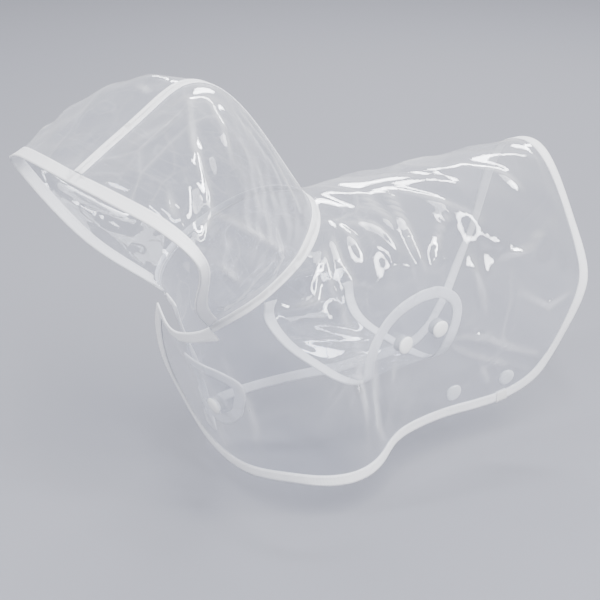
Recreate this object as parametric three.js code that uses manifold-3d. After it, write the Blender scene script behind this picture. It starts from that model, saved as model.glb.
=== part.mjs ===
// Dog raincoat of clear vinyl film, edged with white fold-over binding, in the shape it has when worn.
// Millimetres. +Z is up, the hood looks along -Y and the wearer's left side is +X.
// Table points are [across, along, height], with the height measured from the floor the wearer stands on.
// The origin is on the underside of the cape's back, where it lies on the wearer.
import * as THREE from "three";
import { mergeVertices } from "three/addons/utils/BufferGeometryUtils.js";
import Module from "manifold-3d";

const backHeight = 198; // the film's middle at the origin, above the floor
const filmWall = 1.0; // the vinyl film, thicker than the real 0.25 mm
const tapeWall = 0.7; // one layer of binding
const seamGap = 0.6; // between a binding's leg and the film
const tapeGap = 0.75; // between a tape and the two films that it joins
const tapeWidth = 8.4; // binding as seen, edge to edge
const tapeLeg = 7.2; // how far a binding's leg reaches onto the film
const headTurn = 2.8; // degrees the hood is turned to the wearer's left
const turnFade = 4; // how late the turn fades towards the neck line
const hoodPivotAlong = -105;
const hoodRise = 1.1; // the hood's last arch stands this far above the neck line
const neckLift = 0.4; // the neck tape bridges the step that this makes
const napeStart = 1.4; // sections before the nape where the columns stand closer
const napeBlend = 6; // how closely only the film next to the neck line rounds the nape with it
const insideDepth = 4; // between the film of a snapped piece and the film outside it
const bandGap = 0.6; // between two bindings that lie on each other
const foldEnd = 0.12; // a fold starts and ends this share of half a wave from level
const bandEnds = 1; // a binding stops this far short of a corner
const strapSewn = 12; // and this far short of the strap's sewn end
const brimOverrun = 3; // the brim binding runs this far on, and is cut to the neck tape
const clearance = { low: -4, wall: 10 }; // how deep, and how thick, that cut reaches
const leastStep = 1.5; // a shortened path has no step below this
const leastSpread = 0.6; // keeps a tape's middle near the film where a seam is sharp
const pointsPerMm = 200; // points of a sheet that round to the same place are one
const mergeReach = 1e-4;

const snap = { capRadius: 6, discRadius: 4.8, discWall: 0.9, postRadius: 1.6, holeRadius: 2.1, seat: 0.4 };
// The cap's outline from its edge to its middle, as a share of its radius and a rise above its seat.
const capOutline = [
  { share: 1, rise: 0.6 },
  { share: 0.78, rise: 1.4 },
  { share: 0.4, rise: 1.8 },
  { share: 0, rise: 1.8 },
];
const snapSides = 12;

// How many steps each stretch of a mesh has.
const capeSteps = { front: 6, lap: 1, neck: 12, nape: 6, back: 14, height: 13 };
const hoodSteps = { first: 0.075, last: 0.94, count: 11 };
const archBreaks = [0, 0.48, 0.72, 1];
const archCounts = [8, 9, 6];
const strapBreaks = [0, 5, 7, 8, 12];
const strapCounts = [6, 6, 1, 10];
const strapColumns = 8;
const tabColumns = 12;
const tabHeights = 6;

// Sections of the left half of the cape, from its front edge round the chest, the side and the rump.
// Each runs from the hem up to the neck line, and from the nape on up to the middle of the back.
const capeSections = [
  {
    hem: [-45, -121, 40], low: [-53, -128, 62], side: [-51, -136, 82],
    flank: [-45, -143, 102], shoulder: [-36, -149, 120], top: [-27, -153, 135],
  },
  {
    hem: [-28, -120, 30], low: [-29, -128, 56], side: [-26, -135, 78],
    flank: [-22, -143, 98], shoulder: [-17, -150, 115], top: [-13, -156, 129],
  },
  {
    hem: [0, -120, 26], low: [0, -127, 52], side: [0, -134, 74],
    flank: [0, -142, 94], shoulder: [0, -150, 112], top: [0, -156, 127],
  },
  {
    hem: [27, -118, 28], low: [27, -125, 56], side: [26, -132, 79],
    flank: [25, -139, 100], shoulder: [22, -146, 119], top: [20, -151, 134],
  },
  {
    hem: [52, -107, 32], low: [51, -114, 62], side: [49, -121, 88],
    flank: [46, -129, 111], shoulder: [42, -138, 132], top: [38, -146, 147],
  },
  {
    hem: [67, -90, 31], low: [66, -96, 66], side: [63, -104, 96],
    flank: [59, -113, 122], shoulder: [54, -123, 143], top: [48, -132, 158],
  },
  {
    hem: [72, -68, 30], low: [70, -73, 68], side: [67, -80, 101],
    flank: [63, -90, 130], shoulder: [57, -102, 153], top: [50, -114, 169],
  },
  {
    hem: [68, -46, 32], low: [66, -50, 70], side: [64, -57, 104],
    flank: [61, -68, 136], shoulder: [55, -81, 163], top: [46, -94, 180],
  },
  {
    hem: [56, -24, 37], low: [58, -28, 72], side: [60, -34, 106],
    flank: [59, -44, 138], shoulder: [51, -60, 171], top: [34, -76, 191],
  },
  {
    hem: [50, 2, 37], low: [53, -1, 71], side: [57, -6, 106],
    flank: [58, -15, 140], shoulder: [49, -38, 176], top: [18, -66, 197],
  },
  {
    hem: [49, 28, 37], low: [53, 26, 70], side: [57, 22, 105],
    flank: [57, 14, 142], shoulder: [44, -14, 182], top: [0, -62, 199],
  },
  {
    hem: [50, 52, 36], low: [54, 52, 70], side: [57, 50, 105],
    flank: [56, 44, 143], shoulder: [40, 20, 186], top: [0, -30, 198],
  },
  {
    hem: [51, 74, 36], low: [55, 75, 68], side: [58, 75, 103],
    flank: [56, 71, 143], shoulder: [38, 52, 187], top: [0, 8, 198],
  },
  {
    hem: [54, 92, 41], low: [58, 96, 71], side: [59, 98, 104],
    flank: [55, 95, 145], shoulder: [35, 80, 188], top: [0, 48, 198],
  },
  {
    hem: [57, 106, 50], low: [60, 115, 78], side: [60, 119, 108],
    flank: [52, 117, 147], shoulder: [31, 106, 189], top: [0, 88, 199],
  },
  {
    hem: [58, 118, 64], low: [61, 134, 95], side: [58, 140, 118],
    flank: [46, 137, 150], shoulder: [26, 131, 190], top: [0, 131, 200],
  },
];
const firstNeckSection = 3; // the hood is sewn on from here
const napeSection = 10; // to here
// The right half mirrors the left one from firstMirrored on, and ends in this edge, under the left front.
const rightFront = {
  hem: [-36, -109, 31], low: [-36, -115, 60], side: [-34, -122, 84],
  flank: [-30, -131, 104], shoulder: [-26, -139, 122], top: [-20, -146, 138],
};
const firstMirrored = 4;

// Arches of the left half of the hood, from the face edge back. Each starts on the crown seam and ends on the
// neck line at neck, a share of the way from the nape to the hood's front corner. After them comes the neck
// line itself, up to lastArchEnd.
const hoodArches = [
  {
    crown: [0, -221, 244], top: [42, -219, 243], shoulder: [82, -213, 236],
    side: [102, -204, 218], jaw: [64, -181, 175], neck: 1,
  },
  {
    crown: [0, -182, 266], top: [42, -184, 271], shoulder: [76, -186, 255],
    side: [93, -184, 219], jaw: [67, -167, 178], neck: 0.955,
  },
  {
    crown: [0, -143, 285], top: [36, -148, 283], shoulder: [64, -154, 261],
    side: [81, -158, 214], jaw: [66, -151, 180], neck: 0.91,
  },
  {
    crown: [0, -108, 266], top: [24, -114, 257], shoulder: [48, -122, 233],
    side: [65, -129, 203], jaw: [60, -135, 177], neck: 0.865,
  },
];
const lastArchEnd = 0.82;
// The hood's front corner, as a share of the neck line from the nape to firstNeckSection.
const hoodCorner = 14 / 15;
// The tables run along the middle of the edge binding. The film ends this share of a table step beyond them.
const hemReach = 0.12;
const frontReach = 0.15;
const rumpReach = 0.16;
const brimReach = 0.11;

// Folds that stand proud of the film, or sink into it: from one point to the other.
const capeFolds = [
  { from: [62, -66, 128], to: [64, -40, 56], rise: -4, width: 10 },
  { from: [57, 30, 103], to: [56, 104, 80], rise: 3.5, width: 10 },
  { from: [57, 28, 94], to: [54, 88, 60], rise: 3, width: 10 },
  { from: [40, -76, 186], to: [55, -20, 150], rise: 3.5, width: 11 },
  { from: [44, -88, 180], to: [60, -62, 132], rise: 3, width: 9 },
  { from: [-40, -76, 186], to: [-55, -20, 150], rise: 3.5, width: 11 },
  { from: [-57, 26, 98], to: [-56, 92, 66], rise: 3, width: 10 },
  { from: [-62, -66, 128], to: [-64, -40, 56], rise: -4, width: 10 },
];
const hoodFolds = [
  { from: [4, -146, 280], to: [74, -173, 233], rise: 4, width: 9 },
  { from: [74, -173, 233], to: [62, -126, 200], rise: 3, width: 11 },
];

// The belly strap, from its rounded end, snapped inside the left side, down that side, below the wearer
// and up inside the right side, where it is sewn. Rows with no across value lie against a side.
const strapRows = [
  { side: "left", height: 137, front: -4, rear: 9 },
  { side: "left", height: 133, front: -22, rear: 20 },
  { side: "left", height: 124, front: -37, rear: 29 },
  { side: "left", height: 112, front: -46, rear: 31 },
  { side: "left", height: 99, front: -50, rear: 27 },
  { side: "left", height: 87, front: -52, rear: 22 },
  { across: 41, height: 78, front: -52, rear: 20 },
  { across: 18, height: 74, front: -52, rear: 20 },
  { across: -18, height: 74, front: -52, rear: 20 },
  { across: -41, height: 78, front: -52, rear: 20 },
  { side: "right", height: 87, front: -52, rear: 20 },
  { side: "right", height: 99, front: -52, rear: 20 },
  { side: "right", height: 112, front: -52, rear: 20, depth: 1.5 },
];

// The chest tab is sewn on the right front's edge and snapped inside the left front.
const tabRows = [
  { across: -33, middle: 79, half: 20, onRight: true },
  { across: -21, middle: 76, half: 25 },
  { across: -8, middle: 74, half: 27 },
  { across: 6, middle: 76, half: 25.5 },
  { across: 18, middle: 79, half: 22 },
  { across: 28, middle: 82, half: 16.5 },
  { across: 35, middle: 85, half: 10 },
  { across: 38, middle: 86, half: 5 },
];

// Snaps are fastened through two films, and the spare ones are open.
const snaps = [
  { name: "chest_snap", at: [4, -134, 70] },
  { name: "belly_snap_front", at: [58, -20, 104] },
  { name: "belly_snap_rear", at: [58, 10, 107] },
];
const spareSnaps = [
  { name: "spare_snap_front", at: [52, 30, 51] },
  { name: "spare_snap_rear", at: [53, 76, 51] },
];

// Points and curves.

const up = new THREE.Vector3(0, 0, 1);
const floorHeight = filmWall / 2 - backHeight;
const place = ([across, along, height]) => new THREE.Vector3(across, along, height + floorHeight);
const mirrored = (p) => new THREE.Vector3(-p.x, p.y, p.z);
const range = (n) => Array.from({ length: n }, (_, i) => i);

// A smooth curve through the points, for a share t of 0 to 1. after replaces the point beyond the last one.
function through(points, after) {
  const n = points.length - 1;
  const at = (i) => {
    if (i < 0) return points[0].clone().multiplyScalar(2).sub(points[1]);
    if (i > n) return after ?? points[n].clone().multiplyScalar(2).sub(points[n - 1]);
    return points[i];
  };
  return (t) => {
    const i = Math.min(n - 1, Math.max(0, Math.floor(t * n)));
    const f = t * n - i;
    const [a, b, c, d] = [at(i - 1), at(i), at(i + 1), at(i + 2)];
    const blend = (k) => {
      const slope = c[k] - a[k];
      const bend = 2 * a[k] - 5 * b[k] + 4 * c[k] - d[k];
      const twist = 3 * b[k] - a[k] - 3 * c[k] + d[k];
      return 0.5 * (2 * b[k] + slope * f + bend * f * f + twist * f ** 3);
    };
    return new THREE.Vector3(blend("x"), blend("y"), blend("z"));
  };
}

const loft = (curves) => (u, t) => through(curves.map((curve) => curve(t)))(u);

// Sheets: open meshes along the middle of the film, walls made from them, and places on them.

// A sheet holds points, triangles and a normal for each point. Seen from outside, t runs to the left of u,
// and to its right in a grid that is flipped.
function sheetOf(grids) {
  const points = [];
  const index = new Map();
  const faces = [];
  const idOf = (p) => {
    const key = [p.x, p.y, p.z].map((v) => Math.round(v * pointsPerMm)).join();
    if (!index.has(key)) {
      index.set(key, points.length);
      points.push(p.clone());
    }
    return index.get(key);
  };
  for (const { surface, us, ts, flip } of grids) {
    const ids = us.map((u) => ts.map((t) => idOf(surface(u, t))));
    for (let i = 0; i + 1 < us.length; i++)
      for (let j = 0; j + 1 < ts.length; j++) {
        const quad = [ids[i][j], ids[i + 1][j], ids[i + 1][j + 1], ids[i][j + 1]];
        const [a, b, c, d] = flip ? quad.reverse() : quad;
        const cutAC = points[a].distanceTo(points[c]) <= points[b].distanceTo(points[d]);
        const triangles = cutAC ? [[a, b, c], [a, c, d]] : [[a, b, d], [b, c, d]];
        faces.push(...triangles.filter((f) => new Set(f).size === 3));
      }
  }
  const sheet = { points, faces };
  sheet.normals = normalsOf(sheet);
  return sheet;
}

function normalsOf({ points, faces }) {
  const normals = points.map(() => new THREE.Vector3());
  for (const [a, b, c] of faces) {
    const ab = points[b].clone().sub(points[a]);
    const normal = ab.cross(points[c].clone().sub(points[a]));
    for (const i of [a, b, c]) normals[i].add(normal);
  }
  return normals.map((n) => n.normalize());
}

// Raises or sinks a sheet along each fold, most at the fold's middle and least at its ends.
function folded(sheet, folds) {
  const moved = sheet.points.map((p) => p.clone());
  for (const fold of folds) {
    const line = new THREE.Line3(place(fold.from), place(fold.to));
    sheet.points.forEach((p, i) => {
      const share = line.closestPointToPointParameter(p, true);
      const away = p.distanceTo(line.at(share, new THREE.Vector3()));
      const along = Math.sin(Math.PI * (foldEnd + (1 - 2 * foldEnd) * share));
      const across = Math.exp(-((away / fold.width) ** 2));
      moved[i].addScaledVector(sheet.normals[i], fold.rise * across * along);
    });
  }
  const result = { points: moved, faces: sheet.faces };
  result.normals = normalsOf(result);
  return result;
}

// The closed solid whose two faces are the sheet moved out, and in, by half the film's wall.
function wallOf(sheet) {
  const n = sheet.points.length;
  const positions = [];
  for (const rise of [filmWall / 2, -filmWall / 2])
    sheet.points.forEach((p, i) => {
      positions.push(...p.clone().addScaledVector(sheet.normals[i], rise).toArray());
    });
  const faces = [];
  const edges = new Map();
  for (const [a, b, c] of sheet.faces) {
    faces.push(a, b, c, c + n, b + n, a + n);
    for (const [p, q] of [[a, b], [b, c], [c, a]]) {
      if (edges.has(`${q},${p}`)) edges.delete(`${q},${p}`);
      else edges.set(`${p},${q}`, [p, q]);
    }
  }
  for (const [p, q] of edges.values()) faces.push(q, p, p + n, q, p + n, q + n);
  return geometryOf(positions, faces);
}

function geometryOf(positions, faces) {
  const geometry = new THREE.BufferGeometry();
  geometry.setAttribute("position", new THREE.Float32BufferAttribute(positions, 3));
  geometry.setIndex(faces);
  return geometry;
}

// The nearest place on a sheet, with the sheet's normal there.
function nearestOn(sheet, target) {
  const corner = new THREE.Triangle();
  const found = new THREE.Vector3();
  const weights = new THREE.Vector3();
  let best = null;
  for (const [a, b, c] of sheet.faces) {
    corner.set(sheet.points[a], sheet.points[b], sheet.points[c]);
    corner.closestPointToPoint(target, found);
    const away = found.distanceTo(target);
    if (best && away >= best.away) continue;
    corner.getBarycoord(found, weights);
    const normal = new THREE.Vector3();
    [a, b, c].forEach((id, k) => normal.addScaledVector(sheet.normals[id], weights.getComponent(k)));
    best = { away, point: found.clone(), normal: normal.normalize() };
  }
  return best;
}

// Bands: binding folded over an edge, and tape laid on a seam.

// A solid swept through stations, each a ring of points. end is the same ring laid flat, for the two ends.
function sweep(stations, end) {
  const n = end.length;
  const points = stations.flat();
  const faces = [];
  for (let i = 0; i + 1 < stations.length; i++)
    for (let j = 0; j < n; j++) {
      const k = (j + 1) % n;
      const [a, b, c, d] = [i * n + j, i * n + k, (i + 1) * n + k, (i + 1) * n + j];
      const cutAC = points[a].distanceTo(points[c]) <= points[b].distanceTo(points[d]);
      faces.push(...(cutAC ? [a, b, c, a, c, d] : [a, b, d, b, c, d]));
    }
  const flat = end.map(([u, v]) => new THREE.Vector2(u, v));
  const turnsLeft = !THREE.ShapeUtils.isClockWise(flat);
  const last = (stations.length - 1) * n;
  for (const [a, b, c] of THREE.ShapeUtils.triangulateShape(flat, [])) {
    const [p, q, r] = turnsLeft ? [a, b, c] : [a, c, b];
    if (turnsLeft) faces.push(p, r, q, last + p, last + q, last + r);
    else faces.push(p, q, r, last + p, last + r, last + q);
  }
  return facingOut(geometryOf(points.flatMap((p) => p.toArray()), faces));
}

// Turns a closed geometry so that its faces point out.
function facingOut(geometry) {
  const p = geometry.getAttribute("position");
  const ids = geometry.index.array;
  const [a, b, c] = range(3).map(() => new THREE.Vector3());
  let volume = 0;
  for (let i = 0; i < ids.length; i += 3) {
    a.fromBufferAttribute(p, ids[i]);
    b.fromBufferAttribute(p, ids[i + 1]);
    c.fromBufferAttribute(p, ids[i + 2]);
    volume += a.dot(b.cross(c));
  }
  if (volume > 0) return geometry;
  for (let i = 0; i < ids.length; i += 3) [ids[i + 1], ids[i + 2]] = [ids[i + 2], ids[i + 1]];
  return geometry;
}

// The direction of a path at a point: halfway between the stretches before and after it.
function tangentAt(path, i) {
  const before = path[i].clone().sub(path[Math.max(0, i - 1)]).normalize();
  const after = path[Math.min(path.length - 1, i + 1)].clone().sub(path[i]).normalize();
  return before.add(after).normalize();
}

// The edge of a sheet as one ring of points, with the film on the left seen from outside.
function rimOf({ points, faces }) {
  const next = new Map();
  for (const face of faces)
    face.forEach((a, k) => {
      const b = face[(k + 1) % 3];
      if (next.get(b)?.delete(a)) return;
      if (!next.has(a)) next.set(a, new Set());
      next.get(a).add(b);
    });
  const ring = [];
  const start = [...next.keys()].find((id) => next.get(id).size);
  for (let id = start; ring[0] !== id; id = [...next.get(id)][0]) ring.push(id);
  return ring.map((id) => points[id]);
}

// The part of a rim between the points nearest to from and to. Both ends can be cut shorter by a length.
function rimBetween(sheet, from, to, cutStart = 0, cutEnd = 0) {
  const ring = rimOf(sheet);
  const nearest = (p) => {
    const away = ring.map((q) => q.distanceTo(p));
    return away.indexOf(Math.min(...away));
  };
  const [first, last] = [nearest(from), nearest(to)];
  const path = [];
  for (let i = first; i !== last; i = (i + 1) % ring.length) path.push(ring[i]);
  path.push(ring[last]);
  return shortened(shortened(path, cutStart).reverse(), cutEnd).reverse();
}

// A path without its first stretch of the given length.
function shortened(path, length) {
  let left = length;
  let i = 0;
  while (left > path[i].distanceTo(path[i + 1])) {
    left -= path[i].distanceTo(path[i + 1]);
    i += 1;
  }
  if (left === 0) return path;
  const start = path[i].clone().lerp(path[i + 1], left / path[i].distanceTo(path[i + 1]));
  const tooClose = start.distanceTo(path[i + 1]) < leastStep;
  return [start, ...path.slice(i + (tooClose ? 2 : 1))];
}

// Binding folded over the sheet's edge along a path that has the film on its left.
function bindingOn(sheet, path) {
  const reach = filmWall / 2 + seamGap;
  const outer = reach + tapeWall;
  const lip = seamGap + tapeWall;
  const stations = path.map((point, i) => {
    const { normal } = nearestOn(sheet, point);
    const tangent = tangentAt(path, i);
    const inward = normal.clone().cross(tangent).normalize();
    const before = path[Math.max(0, i - 1)];
    const after = path[Math.min(path.length - 1, i + 1)];
    const turn = after.clone().sub(point).angleTo(point.clone().sub(before)) || 0;
    const mitre = 1 / Math.cos(Math.min(turn, Math.PI / 2) / 2);
    const far = nearestOn(sheet, point.clone().addScaledVector(inward, tapeLeg * mitre));
    const edge = (out) => point.clone().addScaledVector(inward, -out * mitre);
    const near = (out, rise) => edge(out).addScaledVector(normal, rise);
    const deep = (rise) => far.point.clone().addScaledVector(far.normal, rise);
    return [
      deep(outer), deep(reach), near(seamGap, reach), near(seamGap, -reach),
      deep(-reach), deep(-outer), near(lip, -outer), near(lip, outer),
    ];
  });
  const end = [
    [-tapeLeg, outer], [-tapeLeg, reach], [seamGap, reach], [seamGap, -reach],
    [-tapeLeg, -reach], [-tapeLeg, -outer], [lip, -outer], [lip, outer],
  ];
  return sweep(stations, end);
}

// Tape laid over a seam: at each place of the path, half its width on each of the two sheets. lift raises its
// middle, low is the height of its underside above the sheets, and wall is its thickness.
const seamTape = { lift: 0, width: tapeWidth, low: filmWall / 2 + tapeGap, wall: 2 * tapeWall };
function tapeOn(sheets, path, changes = {}) {
  const { lift, width, low, wall } = { ...seamTape, ...changes };
  const high = low + wall;
  const stations = path.map((point, i) => {
    const tangent = tangentAt(path, i);
    const normals = sheets.map((sheet) => nearestOn(sheet, point).normal);
    const middle = normals[0].clone().add(normals[1]).normalize();
    const sides = sheets.map((sheet, k) => {
      const across = middle.clone().cross(tangent).normalize().multiplyScalar(k ? -1 : 1);
      return nearestOn(sheet, point.clone().addScaledVector(across, width / 2));
    });
    const spread = Math.max(leastSpread, middle.dot(normals[0]));
    const at = (from, normal, rise) => from.clone().addScaledVector(normal, rise);
    return [
      at(sides[0].point, sides[0].normal, high), at(sides[0].point, sides[0].normal, low),
      at(point, middle, low / spread + lift), at(sides[1].point, sides[1].normal, low),
      at(sides[1].point, sides[1].normal, high), at(point, middle, high / spread + lift),
    ];
  });
  const half = width / 2;
  return sweep(stations, [[-half, high], [-half, low], [0, low], [half, low], [half, high], [0, high]]);
}

// Joining and cutting.

const wasm = await Module();
wasm.setup();

function solidOf(geometry) {
  const bare = geometry.clone();
  bare.deleteAttribute("normal");
  bare.deleteAttribute("uv");
  const merged = mergeVertices(bare, mergeReach);
  const vertProperties = merged.getAttribute("position").array;
  const triVerts = new Uint32Array(merged.index.array);
  return new wasm.Manifold(new wasm.Mesh({ numProp: 3, vertProperties, triVerts }));
}

// The largest piece that is left of a geometry when the tools are cut away.
function cut(geometry, tools) {
  let solid = solidOf(geometry);
  for (const tool of tools) solid = solid.subtract(solidOf(tool));
  const [largest] = solid.decompose().sort((a, b) => b.volume() - a.volume());
  const { vertProperties, triVerts } = largest.getMesh();
  return geometryOf(Array.from(vertProperties), Array.from(triVerts));
}

// The pieces.

const see = (opacity) => ({ transparent: true, opacity });
const finishes = {
  film: new THREE.MeshStandardMaterial({ color: 0xeef3f8, roughness: 0.06, ...see(0.25) }),
  binding: new THREE.MeshStandardMaterial({ color: 0xf6f7fa, roughness: 0.85 }),
  snap: new THREE.MeshStandardMaterial({ color: 0xf4f5f8, roughness: 0.35 }),
  clearSnap: new THREE.MeshStandardMaterial({ color: 0xe6ebf0, roughness: 0.15, ...see(0.5) }),
};

const raincoat = new THREE.Group();
function addPiece(name, geometry, finish) {
  const mesh = new THREE.Mesh(geometry, finish);
  mesh.name = name;
  raincoat.add(mesh);
}

const steps = (from, to, count) => range(count + 1).map((i) => from + ((to - from) * i) / count);
const columns = ["hem", "low", "side", "flank", "shoulder", "top"];
const leftRows = capeSections.map((row) => columns.map((column) => place(row[column])));
const rightEdge = columns.map((column) => mirrored(place(rightFront[column])));
const rightRows = [rightEdge, ...leftRows.slice(firstMirrored)];

// From the nape on a section meets its mirror image on the back, so it arrives there level and on the middle.
const rightNape = napeSection - firstMirrored + 1;
function halfCape(rows, nape) {
  const top = (i) => rows[i][rows[i].length - 1];
  const curves = rows.map((row, i) => through(row, i >= nape ? mirrored(row[row.length - 2]) : undefined));
  const surface = loft(curves);
  const neck = through(range(nape + 1).map(top), mirrored(top(nape - 1)));
  return (u, t) => {
    const p = surface(u, t);
    const row = u * (rows.length - 1);
    // The neck line rounds the nape, and only the film next to it follows.
    if (row < nape) p.addScaledVector(neck(row / nape).sub(surface(u, 1)), Math.max(t, 0) ** napeBlend);
    else p.x = Math.max(p.x, 0);
    return p;
  };
}
const leftCape = halfCape(leftRows, napeSection);
const rightCapeMirrored = halfCape(rightRows, rightNape);
const rightCape = (u, t) => mirrored(rightCapeMirrored(u, t));
// Steps through the breaks, with a count for each stretch, as shares of last.
const shares = (breaks, counts, last) => {
  const stretch = (to, k) => steps(breaks[k], to, counts[k]).slice(k ? 1 : 0);
  return breaks.slice(1).flatMap(stretch).map((row) => row / last);
};
const leftEnd = leftRows.length - 1;
const rightEnd = rightRows.length - 1;
const alongLeft = shares(
  [-frontReach, firstNeckSection, napeSection - napeStart, napeSection, leftEnd + rumpReach],
  [capeSteps.front, capeSteps.neck, capeSteps.nape, capeSteps.back],
  leftEnd,
);
const alongRight = shares(
  [-frontReach, 0, rightNape - napeStart, rightNape, rightEnd + rumpReach],
  [capeSteps.lap, capeSteps.neck, capeSteps.nape, capeSteps.back],
  rightEnd,
);
const heights = steps(-hemReach / (columns.length - 1), 1, capeSteps.height);

const cape = folded(
  sheetOf([
    { surface: leftCape, us: alongLeft, ts: heights },
    { surface: rightCape, us: alongRight, ts: heights, flip: true },
  ]),
  capeFolds,
);

// The neck line of the left half and, mirrored, of the right half, from the nape to the hood's front corner.
const neckSteps = napeSection - firstNeckSection;
const neckLines = {
  left: (t) => leftCape((napeSection - t * neckSteps) / leftEnd, 1),
  right: (t) => rightCapeMirrored((rightNape - t * neckSteps) / rightEnd, 1),
};

const archColumns = ["crown", "top", "shoulder", "side", "jaw"];
const hoodPivot = new THREE.Vector3(0, hoodPivotAlong, 0);
// One half of the hood, from the face edge at u = 0 to the neck line, and from the crown at t = 0 down.
function hoodSurface(side) {
  const hoodEdge = (share) => neckLines[side](share * hoodCorner).addScaledVector(up, hoodRise);
  const archCurves = hoodArches.map((row) => {
    const points = [...archColumns.map((column) => place(row[column])), hoodEdge(row.neck)];
    const curve = through(points);
    const level = through([mirrored(points[1]), ...points]);
    const stretches = points.length - 1;
    // The first stretch leaves the crown level, because the other half mirrors it.
    return (t) => (t < 1 / stretches ? level((1 + stretches * t) / (stretches + 1)) : curve(t));
  });
  const surface = loft([...archCurves, (t) => hoodEdge(t * lastArchEnd)]);
  return (u, t) => {
    const p = surface(u, t);
    p.x = Math.max(p.x, seamGap);
    if (side === "right") p.x *= -1;
    const turn = THREE.MathUtils.degToRad(headTurn) * (1 - u * u) * (1 - t ** turnFade);
    return p.sub(hoodPivot).applyAxisAngle(up, turn).add(hoodPivot);
  };
}
const archSteps = shares(archBreaks, archCounts, 1);
const brimEdge = -brimReach / hoodArches.length;
const hoodLength = [brimEdge, ...steps(hoodSteps.first, hoodSteps.last, hoodSteps.count), 1];
const across = ([x, y, z]) => [-x, y, z];
const mirroredFold = ({ from, to, ...fold }) => ({ ...fold, from: across(from), to: across(to) });
const hoodLeft = folded(
  sheetOf([{ surface: hoodSurface("left"), us: hoodLength, ts: archSteps, flip: true }]),
  hoodFolds,
);
const hoodRight = folded(
  sheetOf([{ surface: hoodSurface("right"), us: hoodLength, ts: archSteps }]),
  hoodFolds.map(mirroredFold),
);

// A sheet of both halves, closed at the crown seam, for what crosses it.
const crownReach = 3 * seamGap; // points of the two halves that are closer than this lie on the seam
function joined(a, b) {
  const shift = a.points.length;
  const points = [...a.points, ...b.points].map((p) => p.clone());
  const normals = [...a.normals, ...b.normals].map((n) => n.clone());
  a.points.forEach((p, i) => {
    const k = b.points.findIndex((q) => q.distanceTo(p) < crownReach);
    if (k < 0) return;
    points[i].lerp(b.points[k], 0.5);
    points[shift + k].copy(points[i]);
    normals[i].add(b.normals[k]).normalize();
    normals[shift + k].copy(normals[i]);
  });
  return { points, faces: [...a.faces, ...b.faces.map((f) => f.map((id) => id + shift))], normals };
}
const hoodWhole = joined(hoodLeft, hoodRight);

// The place inside the cape at a depth below its film.
function insideCape(target, depth) {
  const spot = nearestOn(cape, target);
  return spot.point.clone().addScaledVector(spot.normal, -depth);
}

// The strap's rows run straight from front to rear. Those against a side look for its film from sideAcross.
const sideAcross = 60;
function strapSurface(u, t) {
  const points = strapRows.map(({ side, across, height, front, rear, depth = insideDepth }) => {
    const along = front + (rear - front) * u;
    if (!side) return place([across, along, height]);
    return insideCape(place([side === "left" ? sideAcross : -sideAcross, along, height]), depth);
  });
  const p = through(points)(t);
  const lastOnLeft = strapRows.findIndex((row) => !row.side) - 1;
  return t * (strapRows.length - 1) <= lastOnLeft ? insideCape(p, insideDepth) : p;
}
const strapSteps = shares(strapBreaks, strapCounts, strapRows.length - 1);
const strapWidths = steps(0, 1, strapColumns);
const strapSheet = sheetOf([{ surface: strapSurface, us: strapWidths, ts: strapSteps, flip: true }]);

// The tab's binding lies on the right front's binding.
const tabLift = 2 * (filmWall / 2 + seamGap + tapeWall) + bandGap;
// The tab's columns cross from the right front to the left front. Each looks for the film from one of these
// places, behind the fronts or ahead of them, where the nearest film is the one that it lies on.
const lookFrom = { right: -100, left: -140 };
const tabShares = [-1, -0.4, 0.4, 1]; // a column's points, as shares of its half height
const tabCurves = tabRows.map(({ across, middle, half, onRight }) => {
  const point = (height) => {
    const target = place([across, onRight ? lookFrom.right : lookFrom.left, height]);
    const spot = nearestOn(cape, target);
    return spot.point.clone().addScaledVector(spot.normal, onRight ? tabLift : -insideDepth);
  };
  return through(tabShares.map((k) => point(middle + k * half)));
});
const tabSurface = loft(tabCurves);
const tabSheet = sheetOf([{ surface: tabSurface, us: steps(0, 1, tabColumns), ts: steps(0, 1, tabHeights) }]);

// Snaps stand square to the film. A half is turned about its own axis, from the middle of its film outwards.
function turned(profile) {
  const geometry = new THREE.LatheGeometry(profile.map(([r, h]) => new THREE.Vector2(r, h)), snapSides);
  return geometry.rotateX(Math.PI / 2);
}
const seat = filmWall / 2 + snap.seat;
const halfProfile = [
  [0, -seat - snap.discWall], [snap.discRadius, -seat - snap.discWall], [snap.discRadius, -seat],
  [snap.postRadius, -seat], [snap.postRadius, seat], [snap.capRadius, seat],
  ...capOutline.map(({ share, rise }) => [snap.capRadius * share, seat + rise]),
];

// A geometry made about +Z, set at a spot of a sheet with +Z along its normal, or against it.
function setOn(geometry, { point, normal }, depth = 0, inwards = false) {
  const axis = normal.clone().multiplyScalar(inwards ? -1 : 1);
  const turn = new THREE.Quaternion().setFromUnitVectors(up, axis);
  const at = point.clone().addScaledVector(normal, -depth);
  return geometry.applyQuaternion(turn).translate(at.x, at.y, at.z);
}
const hole = (spot, depth = 0) => {
  const drill = new THREE.CylinderGeometry(snap.holeRadius, snap.holeRadius, 3 * filmWall, snapSides);
  return setOn(drill.rotateX(Math.PI / 2), spot, depth);
};
const spotOf = ({ name, at }) => [name, nearestOn(cape, place(at))];
const spots = Object.fromEntries([...snaps, ...spareSnaps].map(spotOf));

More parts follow.
